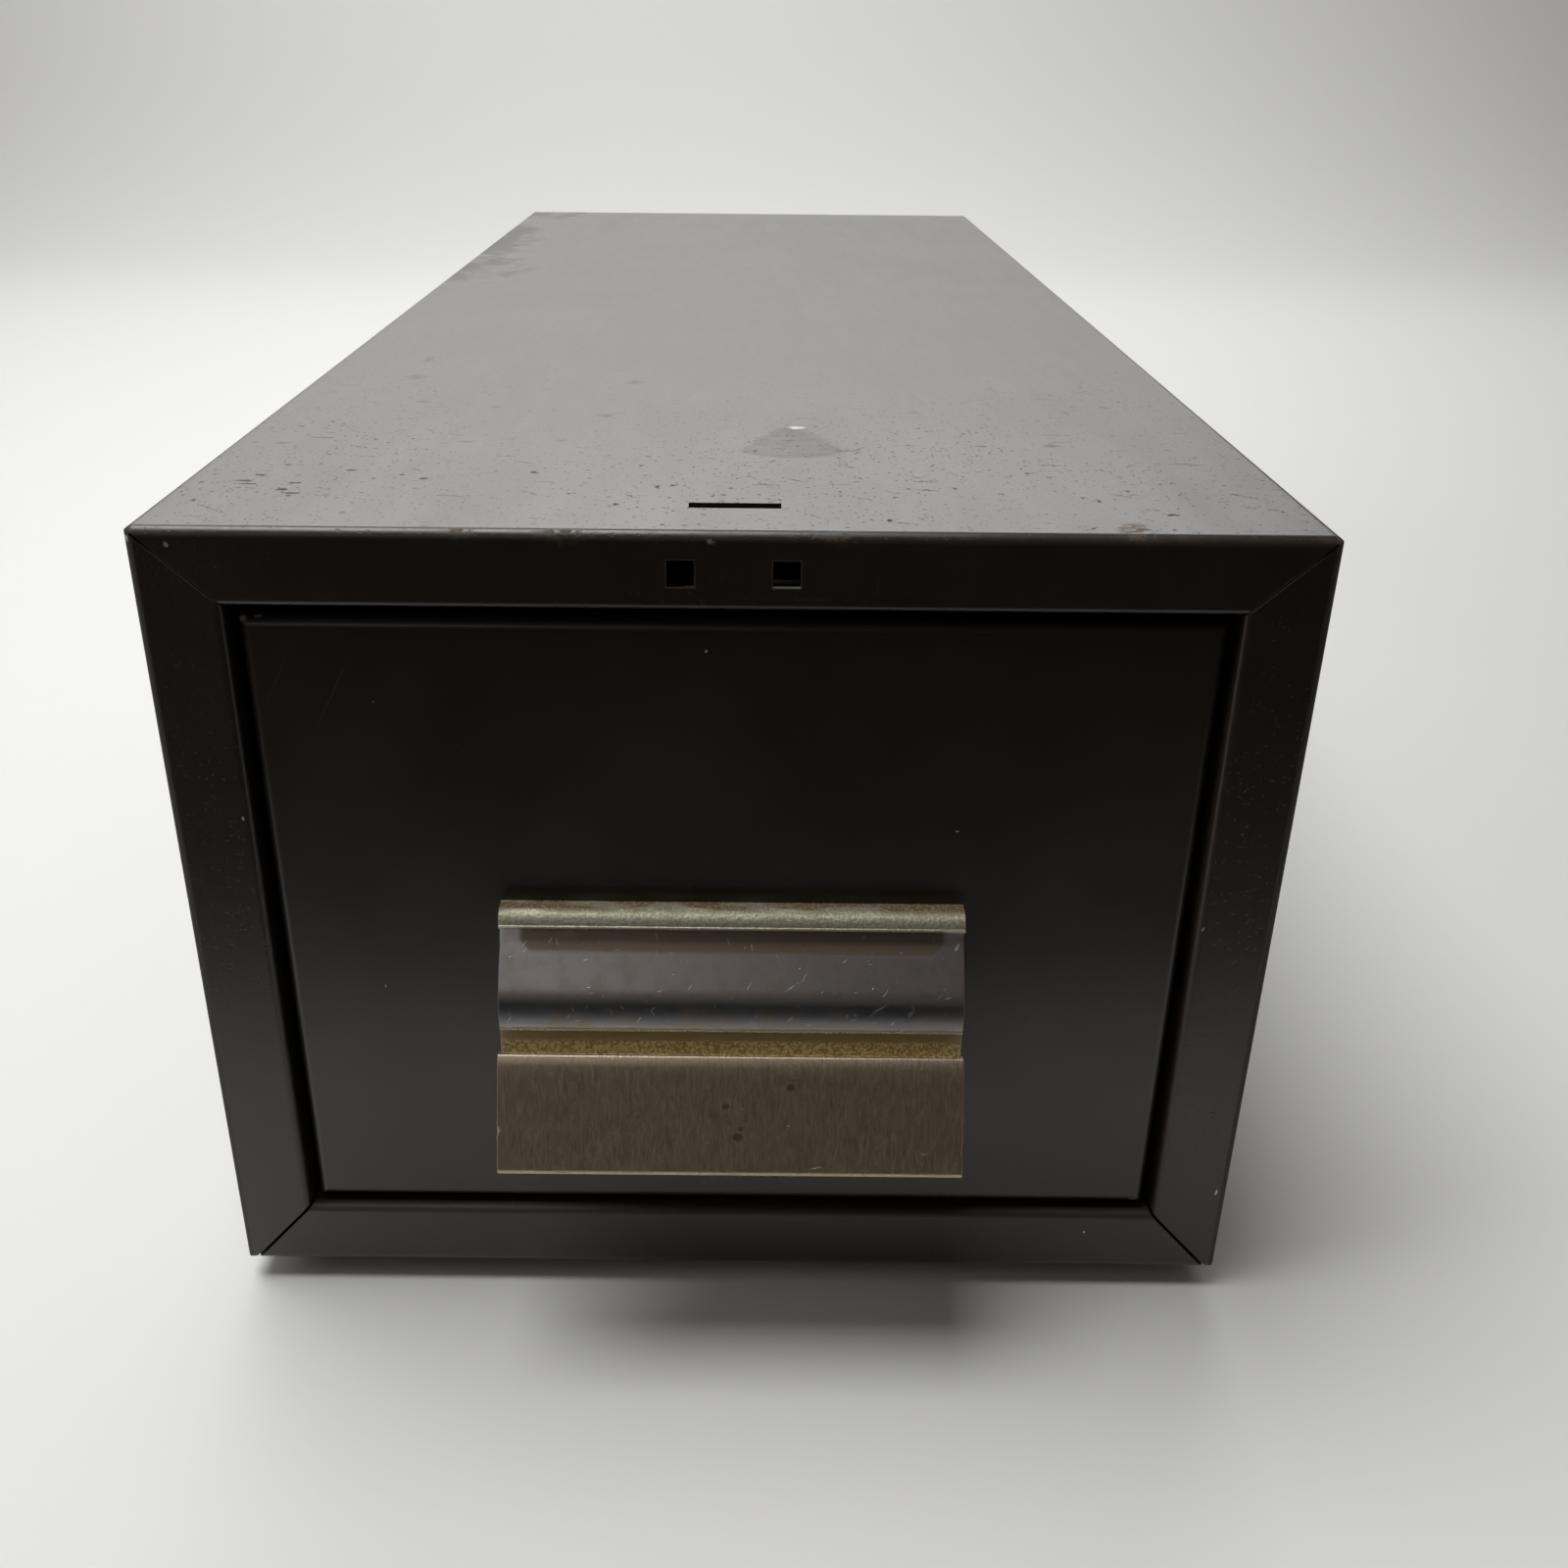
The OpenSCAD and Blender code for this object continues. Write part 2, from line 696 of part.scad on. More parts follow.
// Shoe of the follower: a slab held in the track and a neck that stands up through its slot
module follower_shoe() {
    slab_x = track_w / 2 - track_t - shoe_gap;
    slab_low_z = tray_floor_z + track_t + shoe_gap;
    slab_high_z = track_top_z - track_t - shoe_gap;
    shoe_end_y = shoe_y + shoe_l;
    color(spring_metal) difference() {
        union() {
            box3([-slab_x, shoe_y, slab_low_z], [slab_x, shoe_end_y, slab_high_z]);
            along_x(-neck_x, neck_x) {
                translate([pin_y, pin_z]) circle(ear_r);
                box2([pin_y - ear_r, slab_low_z], [pin_y + ear_r, pin_z]);
                box2([pin_y, slab_low_z], [shoe_end_y, track_top_z + pin_rise / 3]);
            }
        }
        translate([-neck_x - bite, pin_y, pin_z]) rotate([0, 90, 0])
            cylinder(d = pin_d + 2 * fixed_fit, h = 2 * (neck_x + bite));
    }
}

module follower_pin() {
    shank = 2 * (ear_x + plate_t + side_gap);
    color(bare_metal) translate([-shank / 2, pin_y, pin_z]) rotate([0, 90, 0]) rivet(pin_d, shank);
}

// Ear or rib of the card plate: its sheet lies on both sides of x
module mid_sheet(x) along_x(x - plate_t / 2, x + plate_t / 2) children();

// Card plate of the follower, drawn upright around its pin and then leaned back
module follower_plate() {
    half_w = tray_inner_x - drawer_t - plate_gap;
    low = plate_floor_gap - track_h - pin_rise;
    heel_r = ear_r * 2 / 3;
    heel = (pin_rise - heel_gap - heel_r) * [sin(plate_lean), -cos(plate_lean)];
    rib_d = 5 * plate_t;
    color(inner_paint) translate([0, pin_y, pin_z]) rotate([-plate_lean, 0, 0]) difference() {
        union() {
            along_y(-plate_ahead, plate_t - plate_ahead) difference() {
                union() {
                    box2([-half_w, low], [half_w, plate_rise - plate_corner_r]);
                    round_rect([-half_w, low + plate_corner_r], [half_w, plate_rise], plate_corner_r);
                }
                box2(
                    [-track_w / 2 - plate_floor_gap, low - bite],
                    [track_w / 2 + plate_floor_gap, plate_floor_gap - pin_rise]
                );
            }
            for (side = [-1, 1]) {
                mid_sheet(side * (ear_x + plate_t / 2)) {
                    circle(ear_r);
                    translate(heel) circle(heel_r);
                    box2([plate_t / 2 - plate_ahead, -ear_r], [0, ear_r]);
                }
                mid_sheet(side * (half_w - plate_t / 2))
                    box2([-plate_ahead, -pin_rise], [rib_d - plate_ahead, plate_rise - plate_corner_r]);
            }
        }
        translate([-half_w, 0, 0]) rotate([0, 90, 0]) cylinder(d = pin_hole_d, h = 2 * half_w);
    }
}

case_shell();
back_panel();
left_runner();
right_runner();
left_guide();
right_guide();
left_kicker();
right_kicker();
rubber_feet();
foot_rivets();
rear_bumpers();
drawer_front();
drawer_tray();
drawer_back();
drawer_pull();
pull_screws();
pull_washers();
follower_track();
track_rivets();
stop_leaf();
stop_rivets();
follower_shoe();
follower_pin();
follower_plate();
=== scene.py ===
import math
import random
import bpy
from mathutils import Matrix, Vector


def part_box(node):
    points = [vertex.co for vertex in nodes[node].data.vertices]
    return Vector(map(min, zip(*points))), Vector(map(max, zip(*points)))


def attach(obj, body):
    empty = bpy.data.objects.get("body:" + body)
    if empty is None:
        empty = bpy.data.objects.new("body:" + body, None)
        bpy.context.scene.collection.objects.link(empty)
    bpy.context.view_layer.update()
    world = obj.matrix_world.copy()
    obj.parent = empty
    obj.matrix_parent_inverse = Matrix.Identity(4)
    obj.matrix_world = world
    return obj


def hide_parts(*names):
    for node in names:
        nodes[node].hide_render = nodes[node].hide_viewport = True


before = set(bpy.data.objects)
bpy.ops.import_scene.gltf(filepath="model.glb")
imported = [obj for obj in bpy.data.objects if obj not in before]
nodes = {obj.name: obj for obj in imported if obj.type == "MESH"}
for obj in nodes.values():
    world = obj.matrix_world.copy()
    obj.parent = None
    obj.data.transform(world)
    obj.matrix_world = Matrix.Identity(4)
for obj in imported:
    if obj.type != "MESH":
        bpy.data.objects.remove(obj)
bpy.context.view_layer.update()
scene = bpy.context.scene
scene.view_settings.view_transform = "Standard"
mm = 0.001

# Corners that the finishes and pieces share, read from the frame
caseLow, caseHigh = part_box("case_shell")
doorLow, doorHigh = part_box("drawer_front")
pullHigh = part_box("drawer_pull")[1]
trayLow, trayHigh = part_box("drawer_tray")
frontY, topZ = caseLow.y, caseHigh.z
print("frame loaded:", len(nodes), "nodes")


# Shader wiring

class Wire:
    # one output socket; arithmetic on it adds Math nodes
    def __init__(self, finish, socket):
        self.finish, self.socket = finish, socket

    def maths(self, operation, first, second):
        return self.finish.node("ShaderNodeMath", {"operation": operation}, {0: first, 1: second})

    def __add__(self, other):
        return self.maths("ADD", self, other)

    def __sub__(self, other):
        return self.maths("SUBTRACT", self, other)

    def __rsub__(self, other):
        return self.maths("SUBTRACT", other, self)

    def __mul__(self, other):
        return self.maths("MULTIPLY", self, other)

    def __lt__(self, other):
        return self.maths("LESS_THAN", self, other)

    def __abs__(self):
        return self.maths("ABSOLUTE", self, 0.0)

    def __or__(self, other):
        return self.maths("MAXIMUM", self, other)

    def __and__(self, other):
        return self.maths("MINIMUM", self, other)

    __radd__, __rmul__, __ror__, __rand__ = __add__, __mul__, __or__, __and__


class Finish:
    # one material and the nodes in it; lengths are in millimetres
    def __init__(self, name):
        self.material = bpy.data.materials.new(name)
        self.material.use_nodes = True
        self.tree = self.material.node_tree
        self.tree.nodes.clear()

    def node(self, kind, settings=None, sockets=None, out=0):
        made = self.tree.nodes.new(kind)
        for key, value in (settings or {}).items():
            setattr(made, key, value)
        for key, value in (sockets or {}).items():
            if isinstance(value, Wire):
                self.tree.links.new(value.socket, made.inputs[key])
            else:
                made.inputs[key].default_value = value
        return Wire(self, made.outputs[out]) if made.outputs else None

    def vector(self, operation, first, second, out=0):
        return self.node("ShaderNodeVectorMath", {"operation": operation}, {0: first, 1: second}, out)

    def place(self):
        own = self.node("ShaderNodeTexCoord", out="Object")
        return self.vector("MULTIPLY", own, (1 / mm,) * 3)

    def axes(self, vector):
        return [self.node("ShaderNodeSeparateXYZ", None, {0: vector}, out) for out in range(3)]

    def stretch(self, vector, scale):
        return self.vector("MULTIPLY", vector, scale)

    def turned(self, vector, degrees, axis):
        values = {"Vector": vector, "Axis": axis, "Angle": math.radians(degrees)}
        return self.node("ShaderNodeVectorRotate", {"rotation_type": "AXIS_ANGLE"}, values)

    def noise(self, vector, scale, detail=3.0, out=0):
        # scale is in waves per millimetre
        values = {"Vector": vector, "Scale": scale, "Detail": detail}
        return self.node("ShaderNodeTexNoise", None, values, out)

    def ragged(self, vector, scale, reach):
        # the same place pushed about, so that marks get uneven edges
        push = self.vector("SUBTRACT", self.noise(vector, scale, 2.0, out=1), (0.5,) * 3)
        return self.vector("ADD", vector, self.vector("MULTIPLY", push, (2 * reach,) * 3))

    def ease(self, value, low, high, start=0.0, end=1.0):
        # smooth step from start at low to end at high
        values = {0: value, 1: low, 2: high, 3: start, 4: end}
        return self.node("ShaderNodeMapRange", {"interpolation_type": "SMOOTHSTEP"}, values)

    def spot(self, vector, centre, reach, soft=0.3):
        # 1 inside an ellipsoid, fading out over the last part of its reach
        off = self.vector("DIVIDE", self.vector("SUBTRACT", vector, centre), reach)
        return self.ease(self.vector("LENGTH", off, (0.0,) * 3, out=1), 1 - soft, 1.0, 1.0, 0.0)

    def spots(self, vector, places, soft=0.3):
        # the union of several spots, each a centre and a reach
        mask = 0.0
        for centre, reach in places:
            mask = self.spot(vector, centre, reach, soft) | mask
        return mask

    def flecks(self, vector, spacing, size, share):
        # scattered specks: one in each cell of that spacing, kept for a share of the cells
        values = {"Vector": vector, "Scale": 1 / spacing}
        far = self.node("ShaderNodeTexVoronoi", None, values, out="Distance")
        chance = self.axes(self.node("ShaderNodeTexVoronoi", None, values, out="Color"))
        reach = size / spacing
        grown = far - reach * 0.6 * chance[1]
        return self.ease(grown, reach * 0.1, reach * 0.5, 1.0, 0.0) * (chance[0] < share)

    def strokes(self, vector, turn, axis, long, wide, share, through=1.0):
        # short scratches: specks drawn out along one direction
        # with through at 0 they run unchanged along the axis
        scale = [through if part else 1.0 for part in axis]
        drawn = self.stretch(self.turned(vector, turn, axis), (scale[0] * wide / long, scale[1], scale[2]))
        return self.flecks(drawn, wide * 7, wide * 1.6, share)

    def mix(self, first, second, factor):
        settings = {"data_type": "RGBA", "clamp_factor": True}
        return self.node("ShaderNodeMix", settings, {0: factor, 6: first, 7: second}, out=2)

    def bump(self, height):
        return self.node("ShaderNodeBump", None, {"Height": height, "Strength": 1.0, "Distance": mm})

    def surface(self, **values):
        sockets = {key.replace("_", " "): value for key, value in values.items()}
        shader = self.node("ShaderNodeBsdfPrincipled", None, sockets)
        self.node("ShaderNodeOutputMaterial", None, {"Surface": shader})
        return self.material


def tint(red, green, blue):
    # a colour as it is picked on screen, for a colour socket
    def linear(value):
        value /= 255
        return value / 12.92 if value <= 0.04045 else ((value + 0.055) / 1.055) ** 2.4
    return (linear(red), linear(green), linear(blue), 1.0)


def dress(material, *names):
    for name in names:
        nodes[name].data.materials.clear()
        nodes[name].data.materials.append(material)


# Enamel, shared by every painted sheet

enamel = {
    "colour": tint(42, 36, 31),
    "faded": tint(50, 44, 38),      # cloudy lighter areas
    "bare": tint(194, 189, 181),    # steel where the paint is gone
    "rust": tint(78, 59, 38),
    "grime": tint(66, 56, 43),
    "pit": tint(27, 23, 19),
    "rough": 0.33,
    "gloss": 0.62,                  # specular level of the dried enamel
    "peel": 0.010,                  # height of the orange peel
    "ripple": 0.10,                 # height of the sheet's slow waves
}


def enamelCoat(finish, at):
    # colour, roughness and height of sound paint
    cloud = finish.noise(at, 0.022, 4.0)
    wiped = finish.noise(finish.stretch(at, (1.0, 0.22, 1.0)), 0.09, 4.0)
    grain = finish.noise(at, 2.4, 2.0)
    peel = finish.noise(at, 0.55, 2.0)
    slow = finish.noise(at, 0.028, 1.0)
    colour = finish.mix(enamel["colour"], enamel["faded"], finish.ease(cloud, 0.42, 0.68))
    rough = (wiped - 0.5) * 0.16 + (grain - 0.5) * 0.10 + enamel["rough"]
    height = peel * enamel["peel"] + grain * (0.25 * enamel["peel"]) + slow * enamel["ripple"]
    return colour, rough, height


def edgeWear(finish, at, low, high, reach):
    # 1 along the edges of a box, where the paint gets rubbed, and broken up
    near = []
    for value, least, most in zip(finish.axes(at), low, high):
        near.append((value - least / mm) & (most / mm - value))
    x, y, z = near
    closest = (x + y) & (y + z) & (x + z)
    broken = finish.noise(at, 0.30, 4.0)
    return finish.ease(closest - reach * 2.2 * (broken - 0.5), 0.0, reach, 1.0, 0.0)


# Case

caseWear = {
    "markDepth": 3.0,               # how far into the sheet a mark's place reaches
    "topStart": (1.4, 0.5),         # under the top face, where marks on the top begin
    "frameDepth": (1.6, 2.4),       # behind the front, where marks on the frame end
    "foldWide": (1.5, 0.8),         # in from the sides, where the dull folds begin
    "edgeReach": 1.1,               # width of the rubbed edges
    # on the top: across, behind the front, half width, half length
    "dabs": [(-69.0, 26.6, 1.0, 0.6), (-70.6, 23.4, 1.7, 0.5), (-69.3, 21.7, 1.7, 0.5),
             (-62.8, 22.4, 1.1, 0.5), (-63.8, 18.8, 1.0, 0.9), (-61.8, 17.0, 1.8, 0.5),
             (-56.5, 29.9, 1.0, 0.6), (-48.7, 27.4, 0.5, 0.5), (-45.1, 25.6, 0.9, 0.5),
             (-29.7, 29.6, 0.9, 0.6), (-16.4, 12.9, 0.4, 0.7), (-11.2, 22.2, 0.5, 0.9),
             (20.7, 6.1, 0.6, 0.8), (43.1, 31.6, 0.6, 0.6), (50.5, 16.7, 0.4, 0.9), (59.4, 9.9, 1.1, 0.6)],
    "smudges": [(-60.8, 98.9, 2.8, 3.4), (-61.9, 116.0, 1.8, 5.0), (-55.3, 77.5, 2.2, 1.4),
                (-42.2, 73.7, 1.9, 1.4), (-42.6, 48.3, 2.0, 1.0), (-22.6, 67.4, 2.0, 2.0),
                (-19.9, 95.6, 2.4, 3.0), (-27.9, 49.3, 1.4, 1.0), (-71.0, 45.9, 1.8, 1.1),
                (63.6, 77.7, 1.4, 1.6), (68.1, 37.8, 4.0, 0.9), (49.6, 48.8, 2.4, 1.2)],
    "stain": (8.4, 45.2, 8.4, 6.0, 17.5),   # across, behind the front, half width, reach ahead and behind
    "droplet": (9.6, 60.0, 1.9, 1.7),
    # near white: a painted highlight on the droplet
    "dropletHighlight": tint(206, 205, 200),
    "patches": [(-74.0, 250.0, 18.0, 36.0), (-80.0, 316.0, 17.0, 66.0), (-71.0, 398.0, 17.0, 26.0)],
    "patchTint": tint(62, 60, 46),
    "pitsEnd": 150.0,               # how far back the pits thin out
    # on the frame: across, height, half width, half height
    "chips": [(-74.0, 125.6, 0.40, 0.45), (-78.9, 126.5, 0.35, 0.6), (-69.3, 85.6, 0.25, 0.35),
              (-67.9, 24.6, 0.3, 0.3), (77.5, 20.0, 0.25, 0.5), (68.6, 69.0, 0.22, 0.6)],
    "curl": (-3.0, 126.6, 0.7, 0.5),
    "holes": (7.0, 122.3, 1.85),        # distance from the middle, height, half side
    "holeRim": 0.16,                    # width of the worn rim round each hole
    "skin": (0.02, 0.12),               # depth over which the front face gives way to a cut face
    "rustEdge": [(52.8, 2.8, 3.6, 4.2), (-22.0, 0.4, 5.0, 0.9),
                 (-35.5, 0.4, 2.4, 0.8), (14.0, 0.4, 5.2, 0.9)],
    "ghost": (13.6, 121.4, 5.6, 2.7),   # outline of something once stuck beside the holes
    "ghostLine": 0.3,                   # width of that outline
    "sill": (14.6, 15.6),               # heights of the opening's lower fold, dulled by grime and darkened with painted shade
    "seam": ((67.9, 117.2), (79.5, 128.0)),   # upper mitre, from the opening out to the corner
    "seamHighlightAndOutline": tint(128, 118, 110),          # painted highlight along it, lighter than the groove's shade; also the outline's colour
}


def onTop(mark):
    across, back, halfWide, halfLong = mark
    return (across, frontY / mm + back, topZ / mm), (halfWide, halfLong, caseWear["markDepth"])


def onFront(mark):
    across, up, halfWide, halfHigh = mark
    return (across, frontY / mm, up), (halfWide, caseWear["markDepth"], halfHigh)


def panelMask(finish, x, z, mark, soft):
    # 1 on an upright rectangle
    across, up, halfWide, halfHigh = mark
    inX = finish.ease(abs(x - across), halfWide - soft, halfWide, 1.0, 0.0)
    return inX * finish.ease(abs(z - up), halfHigh - soft, halfHigh, 1.0, 0.0)


def seamMask(finish, x, z):
    # 1 along the two upper mitres, ending short of the corners
    (startX, startZ), (endX, endZ) = caseWear["seam"]
    run, rise = endX - startX, endZ - startZ
    length = math.hypot(run, rise)
    off = abs((abs(x) - startX) * (rise / length) - (z - startZ) * (run / length))
    along = finish.ease(z, startZ - 0.2, startZ + 0.4) * finish.ease(z, endZ - 4.0, endZ - 1.6, 1.0, 0.0)
    return finish.ease(off, 0.13, 0.24, 1.0, 0.0) * along


def casePaint():
    finish = Finish("case_paint")
    at = finish.place()
    x, y, z = finish.axes(at)
    back = y - frontY / mm
    rag = finish.ragged(at, 1.1, 0.7)
    loose = finish.ragged(at, 0.10, 6.0)
    colour, rough, height = enamelCoat(finish, at)
    top = finish.ease(z, *[topZ / mm - under for under in caseWear["topStart"]])

    # pits, dashes and dabs of dirt on the top, thickest near the front
    thick = finish.ease(finish.noise(at, 0.02, 3.0), 0.36, 0.62, 0.4, 1.0)
    fewer = finish.ease(back, 12.0, caseWear["pitsEnd"], 1.0, 0.14)
    pits = finish.flecks(rag, 0.85, 0.30, 0.50) * thick * fewer * 0.75
    pits = pits | finish.flecks(rag, 2.4, 0.46, 0.38) * thick * fewer
    pits = pits | finish.flecks(rag, 9.0, 0.55, 0.26) * fewer
    dashes = finish.strokes(rag, 6, (0, 0, 1), 1.5, 0.22, 0.34)
    dashes = dashes | finish.strokes(rag, 40, (0, 0, 1), 1.8, 0.2, 0.2)
    dashes = dashes * thick * fewer
    dabs = finish.spots(rag, [onTop(mark) for mark in caseWear["dabs"]], 0.5)
    smudges = finish.spots(finish.ragged(at, 0.5, 1.3), [onTop(mark) for mark in caseWear["smudges"]], 0.95)
    dirt = (pits | dashes * 0.7 | dabs | smudges * 0.42) * top
    colour = finish.mix(colour, enamel["pit"], dirt * 0.85)

    # dried stain, round in front and drawn to a point behind, and its droplet
    middle, widest, halfWide, ahead, behind = caseWear["stain"]
    stainX, stainY = finish.axes(finish.ragged(at, 0.30, 0.8))[:2]
    aside = abs(stainX - middle) * (1 / halfWide)
    farther = stainY - (frontY / mm + widest)
    nearer = (farther * (-1 / ahead)) | 0.0
    point = (farther * (1 / behind)) | 0.0
    outside = (aside * 0.4 + aside * aside * 0.6 + point) | (aside * aside + nearer * nearer)
    stain = finish.ease(outside, 0.72, 1.02, 1.0, 0.0) * finish.ease(outside, 0.0, 0.9, 0.6, 1.0) * top
    stain = stain * finish.ease(finish.noise(at, 0.45, 4.0), 0.30, 0.56, 0.55, 1.0)
    droplet = finish.spot(rag, *onTop(caseWear["droplet"]), 0.6)
    # the droplet's near-white colour is a painted highlight
    colour = finish.mix(colour, caseWear["dropletHighlight"], droplet * 0.9)

    # dull patch at the back
    mottle = finish.noise(finish.stretch(at, (1.0, 0.35, 1.0)), 0.13, 5.0)
    mottle = finish.ease(mottle, 0.34, 0.58, 0.3, 1.0)
    patch = finish.spots(loose, [onTop(mark) for mark in caseWear["patches"]], 0.45) * mottle * top
    colour = finish.mix(colour, caseWear["patchTint"], patch * 0.6)

    # rubbed edges, rust at the front fold, chips
    worn = edgeWear(finish, at, caseLow, caseHigh, caseWear["edgeReach"])
    rust = finish.spots(rag, [onTop(mark) for mark in caseWear["rustEdge"]], 0.8)
    rust = rust * finish.ease(finish.noise(at, 0.9, 4.0), 0.40, 0.58)
    colour = finish.mix(colour, enamel["grime"], worn * 0.7)
    colour = finish.mix(colour, enamel["rust"], rust)
    chips = finish.spots(rag, [onFront(mark) for mark in caseWear["chips"]], 0.35)
    chips = chips | finish.spot(rag, *onFront(caseWear["curl"]), 0.9) * 0.5
    sparse = finish.flecks(at, 19.0, 0.28, 0.16) * finish.ease(back, 0.4, 1.2, 1.0, 0.0)
    holeX, holeZ, half = caseWear["holes"]
    cut = panelMask(finish, x, z, (holeX, holeZ - half, half + 0.1, 0.12), 0.06)
    cut = cut * finish.ease(back, *caseWear["skin"])
    outer = half + caseWear["holeRim"]
    rim = panelMask(finish, abs(x), z, (holeX, holeZ, outer, outer), 0.08)
    rim = rim * finish.ease(back, *caseWear["skin"], 1.0, 0.0)
    chips = chips | sparse | cut * finish.ease(back, 1.2, 1.6, 1.0, 0.0) | rim * 0.14
    colour = finish.mix(colour, enamel["bare"], chips)

    # outline on the frame, grime and painted shade on the opening's lower fold, painted highlight on the
    # upper mitres, dull side folds
    near = finish.ease(back, *caseWear["frameDepth"], 1.0, 0.0)
    ghostX, ghostZ, ghostWide, ghostHigh = caseWear["ghost"]
    line = caseWear["ghostLine"]
    ghost = panelMask(finish, x, z, caseWear["ghost"], 0.12)
    ghost = ghost - panelMask(finish, x, z, (ghostX, ghostZ, ghostWide - line, ghostHigh - line), 0.12)
    ghost = ghost * near * finish.ease(finish.noise(at, 0.5, 3.0), 0.40, 0.60)
    fold = finish.ease(abs(x), *[caseHigh.x / mm - inward for inward in caseWear["foldWide"]]) * near
    low, high = caseWear["sill"]
    sill = finish.ease(z, low - 0.6, low) * finish.ease(z, high, high + 0.3, 1.0, 0.0) * near
    mitre = caseWear["seam"][0][0] + high
    sill = sill * finish.ease(abs(x) + z, mitre - 0.6, mitre, 1.0, 0.0)
    seam = seamMask(finish, x, z) * near
    # grime and painted shade: darker on the opening's lower fold
    colour = finish.mix(colour, enamel["pit"], sill * 0.3)
    # painted highlight along the upper mitres; the outline beside the holes is a real mark
    colour = finish.mix(colour, caseWear["seamHighlightAndOutline"], seam * 0.8 | ghost * 0.12)

    rough = rough + dirt * 0.45 + stain * 0.13 + patch * 0.24 + worn * 0.12 + rust * 0.4
    rough = rough - droplet * 0.2 + fold * 0.4 + sill * 0.3 + seam * 0.2
    height = height - pits * 0.04 + droplet * 0.35 - chips * 0.04
    return finish.surface(Base_Color=colour, Roughness=rough, Metallic=chips * 0.5,
                          Specular_IOR_Level=enamel["gloss"], Normal=finish.bump(height))


# Drawer front

doorWear = {
    "edgeReach": 0.8,                     # width of the rubbed edges
    # across, height, half width, half height
    "chips": [(-65.9, 115.0, 0.9, 0.5), (-63.8, 115.2, 1.5, 0.2), (64.8, 17.2, 0.9, 0.3),
              (-3.7, 111.2, 0.35, 0.28), (32.0, 84.0, 0.25, 0.2), (-52.0, 57.0, 0.2, 0.3)],
    "low": [(-35.0, 19.4, 1.6, 0.6), (28.0, 22.5, 1.0, 0.4)],
    "fingers": (0.0, 27.0, 48.0, 17.0),   # rubbed by hands below the pull
}


def doorPaint():
    finish = Finish("drawer_paint")
    at = finish.place()
    rag = finish.ragged(at, 0.9, 0.35)
    colour, rough, height = enamelCoat(finish, at)
    worn = edgeWear(finish, at, doorLow, doorHigh, doorWear["edgeReach"])
    specks = finish.flecks(at, 13.0, 0.30, 0.30)
    chips = finish.spots(rag, [onFront(mark) for mark in doorWear["chips"]], 0.4) | specks * 0.6
    low = finish.spots(rag, [onFront(mark) for mark in doorWear["low"]], 0.7)
    fingers = finish.spot(finish.ragged(at, 0.05, 8.0), *onFront(doorWear["fingers"]), 0.8)
    scuffs = finish.strokes(at, 62, (0, 1, 0), 9.0, 0.12, 0.10)
    colour = finish.mix(colour, enamel["grime"], worn * 0.6 | low * 0.8)
    colour = finish.mix(colour, enamel["bare"], chips)
    rough = rough + worn * 0.1 + low * 0.2 - fingers * 0.06 + scuffs * 0.15
    height = height - chips * 0.04 - scuffs * 0.006
    return finish.surface(Base_Color=colour, Roughness=rough, Metallic=chips * 0.4,
                          Specular_IOR_Level=enamel["gloss"], Normal=finish.bump(height))


# Inner sheets: tray, runners, kickers and follower

innerWear = {
    "rubLong": 26.0,        # length of the rub marks along the slide
    "dust": tint(112, 104, 90),
    "corner": 9.0,          # dust lies thicker this near to the tray's sides
}


def innerPaint():
    finish = Finish("inner_paint")
    at = finish.place()
    x, _, z = finish.axes(at)
    colour, rough, height = enamelCoat(finish, at)
    streaky = finish.noise(finish.stretch(at, (1.6, 1 / innerWear["rubLong"], 1.6)), 1.0, 4.0)
    rubbed = finish.ease(streaky, 0.50, 0.66)

    # bare streaks on the tray's hems and under its floor, where they slide
    hem = finish.ease(z, trayHigh.z / mm - 0.9, trayHigh.z / mm - 0.2)
    hem = hem * finish.ease(z, trayHigh.z / mm + 0.2, trayHigh.z / mm + 0.6, 1.0, 0.0)
    sole = finish.ease(z, trayLow.z / mm + 0.15, trayLow.z / mm + 0.5, 1.0, 0.0)
    bare = (hem | sole) * rubbed
    colour = finish.mix(colour, enamel["bare"], bare)

    # fine dust settled on what faces up
    normal = finish.node("ShaderNodeNewGeometry", out="Normal")
    upward = finish.ease(finish.axes(normal)[2], 0.6, 0.95)
    drift = finish.noise(finish.stretch(at, (1.0, 0.3, 1.0)), 0.035, 3.0)
    speckle = finish.noise(at, 1.6, 3.0)
    edge = finish.ease(trayHigh.x / mm - abs(x), 1.0, innerWear["corner"], 1.0, 0.0)
    dust = finish.ease(drift + edge * 0.25, 0.42, 0.80) * (0.55 + 0.45 * finish.ease(speckle, 0.4, 0.6))
    dust = dust * upward * 0.30
    colour = finish.mix(colour, innerWear["dust"], dust)
    scuffs = finish.strokes(at, 78, (0, 0, 1), 16.0, 0.16, 0.14)
    rough = rough + dust * 0.6 + scuffs * 0.12 - bare * 0.05
    height = height - scuffs * 0.006 - bare * 0.012
    return finish.surface(Base_Color=colour, Roughness=rough, Metallic=bare * 0.9,
                          Normal=finish.bump(height))


# Small metal and rubber

hardware = {"colour": tint(186, 183, 176), "dull": tint(150, 140, 122), "rough": 0.36}
spring = {"colour": tint(112, 114, 119), "heat": tint(96, 84, 78), "rough": 0.34}
rubber = {"colour": tint(24, 24, 23), "dust": tint(70, 67, 62), "rough": 0.72}


